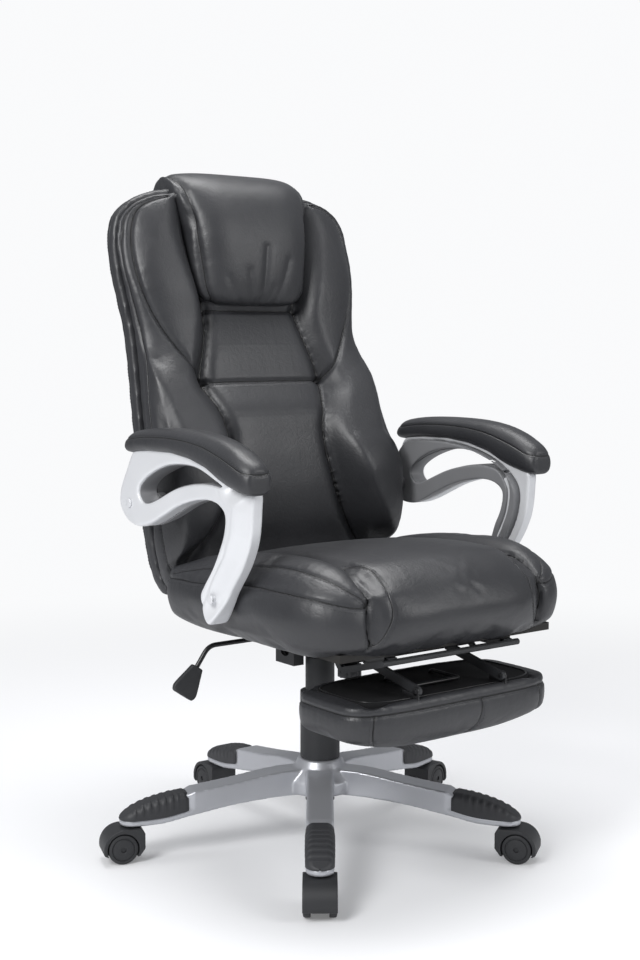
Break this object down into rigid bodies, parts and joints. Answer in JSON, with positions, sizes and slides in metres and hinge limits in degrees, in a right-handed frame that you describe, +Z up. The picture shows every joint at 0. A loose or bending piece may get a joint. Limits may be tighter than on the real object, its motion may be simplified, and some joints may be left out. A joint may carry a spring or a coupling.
{
  "type": "reclining office chair with footrest",
  "caption": "High-backed black leather office chair with looped silver armrests, a star base on casters and a footrest that pulls out from under the seat.",
  "frame": {"origin": "On the floor, on the axis of the gas column and the base.", "axes": "+Z up. The sitter faces -Y, so the sitter's right hand and the lever are at -X."},
  "size_m": [0.739, 0.7554, 1.155],
  "materials": {
    "black_leather": "satin bonded leather with a fine grain",
    "black_lining": "matt woven lining",
    "silver_paint": "satin silver paint",
    "arm_silver": "satin silver lacquer",
    "dark_plastic": "fine matt texture",
    "grey_plastic": "fine matt texture",
    "black_steel": "black powder coat",
    "bright_steel": "ground bright",
    "plywood": "raw plywood"
  },
  "bodies": {
    "base": {"base_star": "silver_paint", "foot_pad_1": "grey_plastic", "foot_pad_2": "grey_plastic", "foot_pad_3": "grey_plastic", "foot_pad_4": "grey_plastic", "foot_pad_5": "grey_plastic", "column_cover": "dark_plastic", "stand_tube": "dark_plastic", "tube_bushing": "black_steel"},
    "caster_1": {"caster_hood_1": "dark_plastic", "caster_stem_1": "black_steel"},
    "wheel_1a": {"caster_wheel_1a": "dark_plastic"},
    "wheel_1b": {"caster_wheel_1b": "dark_plastic"},
    "caster_2": {"caster_hood_2": "dark_plastic", "caster_stem_2": "black_steel"},
    "wheel_2a": {"caster_wheel_2a": "dark_plastic"},
    "wheel_2b": {"caster_wheel_2b": "dark_plastic"},
    "caster_3": {"caster_hood_3": "dark_plastic", "caster_stem_3": "black_steel"},
    "wheel_3a": {"caster_wheel_3a": "dark_plastic"},
    "wheel_3b": {"caster_wheel_3b": "dark_plastic"},
    "caster_4": {"caster_hood_4": "dark_plastic", "caster_stem_4": "black_steel"},
    "wheel_4a": {"caster_wheel_4a": "dark_plastic"},
    "wheel_4b": {"caster_wheel_4b": "dark_plastic"},
    "caster_5": {"caster_hood_5": "dark_plastic", "caster_stem_5": "black_steel"},
    "wheel_5a": {"caster_wheel_5a": "dark_plastic"},
    "wheel_5b": {"caster_wheel_5b": "dark_plastic"},
    "gas_lift": {"gas_piston": "bright_steel"},
    "tilt_mechanism": {"mechanism_housing": "black_steel", "tilt_shaft": "bright_steel", "lock_bracket": "dark_plastic", "tension_spring": "black_steel"},
    "lever_slide": {"lever_bushing": "dark_plastic"},
    "height_lever": {"lever_rod": "black_steel", "lever_grip": "dark_plastic"},
    "seat_and_back": {"seat_plate": "black_steel", "seat_frame": "plywood", "seat_cushion": "black_leather", "back_shell": "black_leather", "back_cushion": "black_leather", "headrest_pillow": "black_leather", "back_bracket": "black_steel", "arm_frame_right": "arm_silver", "arm_frame_left": "arm_silver", "arm_cover_right": "grey_plastic", "arm_cover_left": "grey_plastic", "arm_pad_right": "black_leather", "arm_pad_left": "black_leather", "rear_bolt_right": "arm_silver", "rear_bolt_left": "arm_silver", "front_bolt_right": "arm_silver", "front_bolt_left": "arm_silver", "footrest_rail_right": "black_steel", "footrest_rail_left": "black_steel"},
    "tension_adjuster": {"tension_knob": "dark_plastic"},
    "footrest_slide_frame": {"footrest_carriage": "black_steel"},
    "footrest": {"footrest_board": "black_lining", "footrest_pad": "black_leather"}
  },
  "joints": [
    {"name": "caster_swivel_1", "type": "hinge", "parent": "base", "child": "caster_1", "pos_m": [-0.19739, -0.26195, 0.06], "axis": [0, 0, 1], "continuous": true},
    {"name": "wheel_turn_1a", "type": "hinge", "parent": "caster_1", "child": "wheel_1a", "pos_m": [-0.20913, -0.27753, 0.025], "axis": [0.7986, -0.6018, 0], "continuous": true},
    {"name": "wheel_turn_1b", "type": "hinge", "parent": "caster_1", "child": "wheel_1b", "pos_m": [-0.20913, -0.27753, 0.025], "axis": [0.7986, -0.6018, 0], "continuous": true},
    {"name": "caster_swivel_2", "type": "hinge", "parent": "base", "child": "caster_2", "pos_m": [0.18813, -0.26868, 0.06], "axis": [0, 0, 1], "continuous": true},
    {"name": "wheel_turn_2a", "type": "hinge", "parent": "caster_2", "child": "wheel_2a", "pos_m": [0.19932, -0.28465, 0.025], "axis": [0.8192, 0.5736, 0], "continuous": true},
    {"name": "wheel_turn_2b", "type": "hinge", "parent": "caster_2", "child": "wheel_2b", "pos_m": [0.19932, -0.28465, 0.025], "axis": [0.8192, 0.5736, 0], "continuous": true},
    {"name": "caster_swivel_3", "type": "hinge", "parent": "base", "child": "caster_3", "pos_m": [0.31367, 0.0959, 0.06], "axis": [0, 0, 1], "continuous": true},
    {"name": "wheel_turn_3a", "type": "hinge", "parent": "caster_3", "child": "wheel_3a", "pos_m": [0.33232, 0.1016, 0.025], "axis": [-0.2924, 0.9563, 0], "continuous": true},
    {"name": "wheel_turn_3b", "type": "hinge", "parent": "caster_3", "child": "wheel_3b", "pos_m": [0.33232, 0.1016, 0.025], "axis": [-0.2924, 0.9563, 0], "continuous": true},
    {"name": "caster_swivel_4", "type": "hinge", "parent": "base", "child": "caster_4", "pos_m": [0.00572, 0.32795, 0.06], "axis": [0, 0, 1], "continuous": true},
    {"name": "wheel_turn_4a", "type": "hinge", "parent": "caster_4", "child": "wheel_4a", "pos_m": [0.00607, 0.34745, 0.025], "axis": [-0.9998, 0.0175, 0], "continuous": true},
    {"name": "wheel_turn_4b", "type": "hinge", "parent": "caster_4", "child": "wheel_4b", "pos_m": [0.00607, 0.34745, 0.025], "axis": [-0.9998, 0.0175, 0], "continuous": true},
    {"name": "caster_swivel_5", "type": "hinge", "parent": "base", "child": "caster_5", "pos_m": [-0.31013, 0.10679, 0.06], "axis": [0, 0, 1], "continuous": true},
    {"name": "wheel_turn_5a", "type": "hinge", "parent": "caster_5", "child": "wheel_5a", "pos_m": [-0.32857, 0.11313, 0.025], "axis": [-0.3256, -0.9455, 0], "continuous": true},
    {"name": "wheel_turn_5b", "type": "hinge", "parent": "caster_5", "child": "wheel_5b", "pos_m": [-0.32857, 0.11313, 0.025], "axis": [-0.3256, -0.9455, 0], "continuous": true},
    {"name": "seat_height", "type": "slide", "parent": "base", "child": "gas_lift", "axis": [0, 0, 1], "range_m": [-0.006, 0.084]},
    {"name": "seat_swivel", "type": "hinge", "parent": "gas_lift", "child": "tilt_mechanism", "pos_m": [0, 0, 0.35], "axis": [0, 0, 1], "continuous": true},
    {"name": "recline_tilt", "type": "hinge", "parent": "tilt_mechanism", "child": "seat_and_back", "pos_m": [0, -0.03, 0.368], "axis": [-1, 0, 0], "range_deg": [0, 15], "stiffness_Nm_per_rad": 60, "springref_deg": -14.9, "deforming": ["tension_spring"]},
    {"name": "tension_knob_turn", "type": "hinge", "parent": "seat_and_back", "child": "tension_adjuster", "pos_m": [0, -0.082, 0.32], "axis": [0, 0, 1], "continuous": true},
    {"name": "lever_pull", "type": "slide", "parent": "tilt_mechanism", "child": "lever_slide", "axis": [-1, 0, 0], "range_m": [0, 0.01]},
    {"name": "lever_lift", "type": "hinge", "parent": "lever_slide", "child": "height_lever", "pos_m": [-0.054, 0.006, 0.366], "axis": [0, 1, 0], "range_deg": [0, 4], "stiffness_Nm_per_rad": 2, "springref_deg": -5.73},
    {"name": "footrest_slide", "type": "slide", "parent": "seat_and_back", "child": "footrest_slide_frame", "axis": [0, -1, 0], "range_m": [0, 0.21]},
    {"name": "footrest_flip", "type": "hinge", "parent": "footrest_slide_frame", "child": "footrest", "pos_m": [0, -0.355, 0.341], "axis": [1, 0, 0], "range_deg": [-180, 0]}
  ],
  "couplings": [
    {"joint": "footrest_flip", "follows": "footrest_slide", "rad_per_m": -14.96}
  ]
}
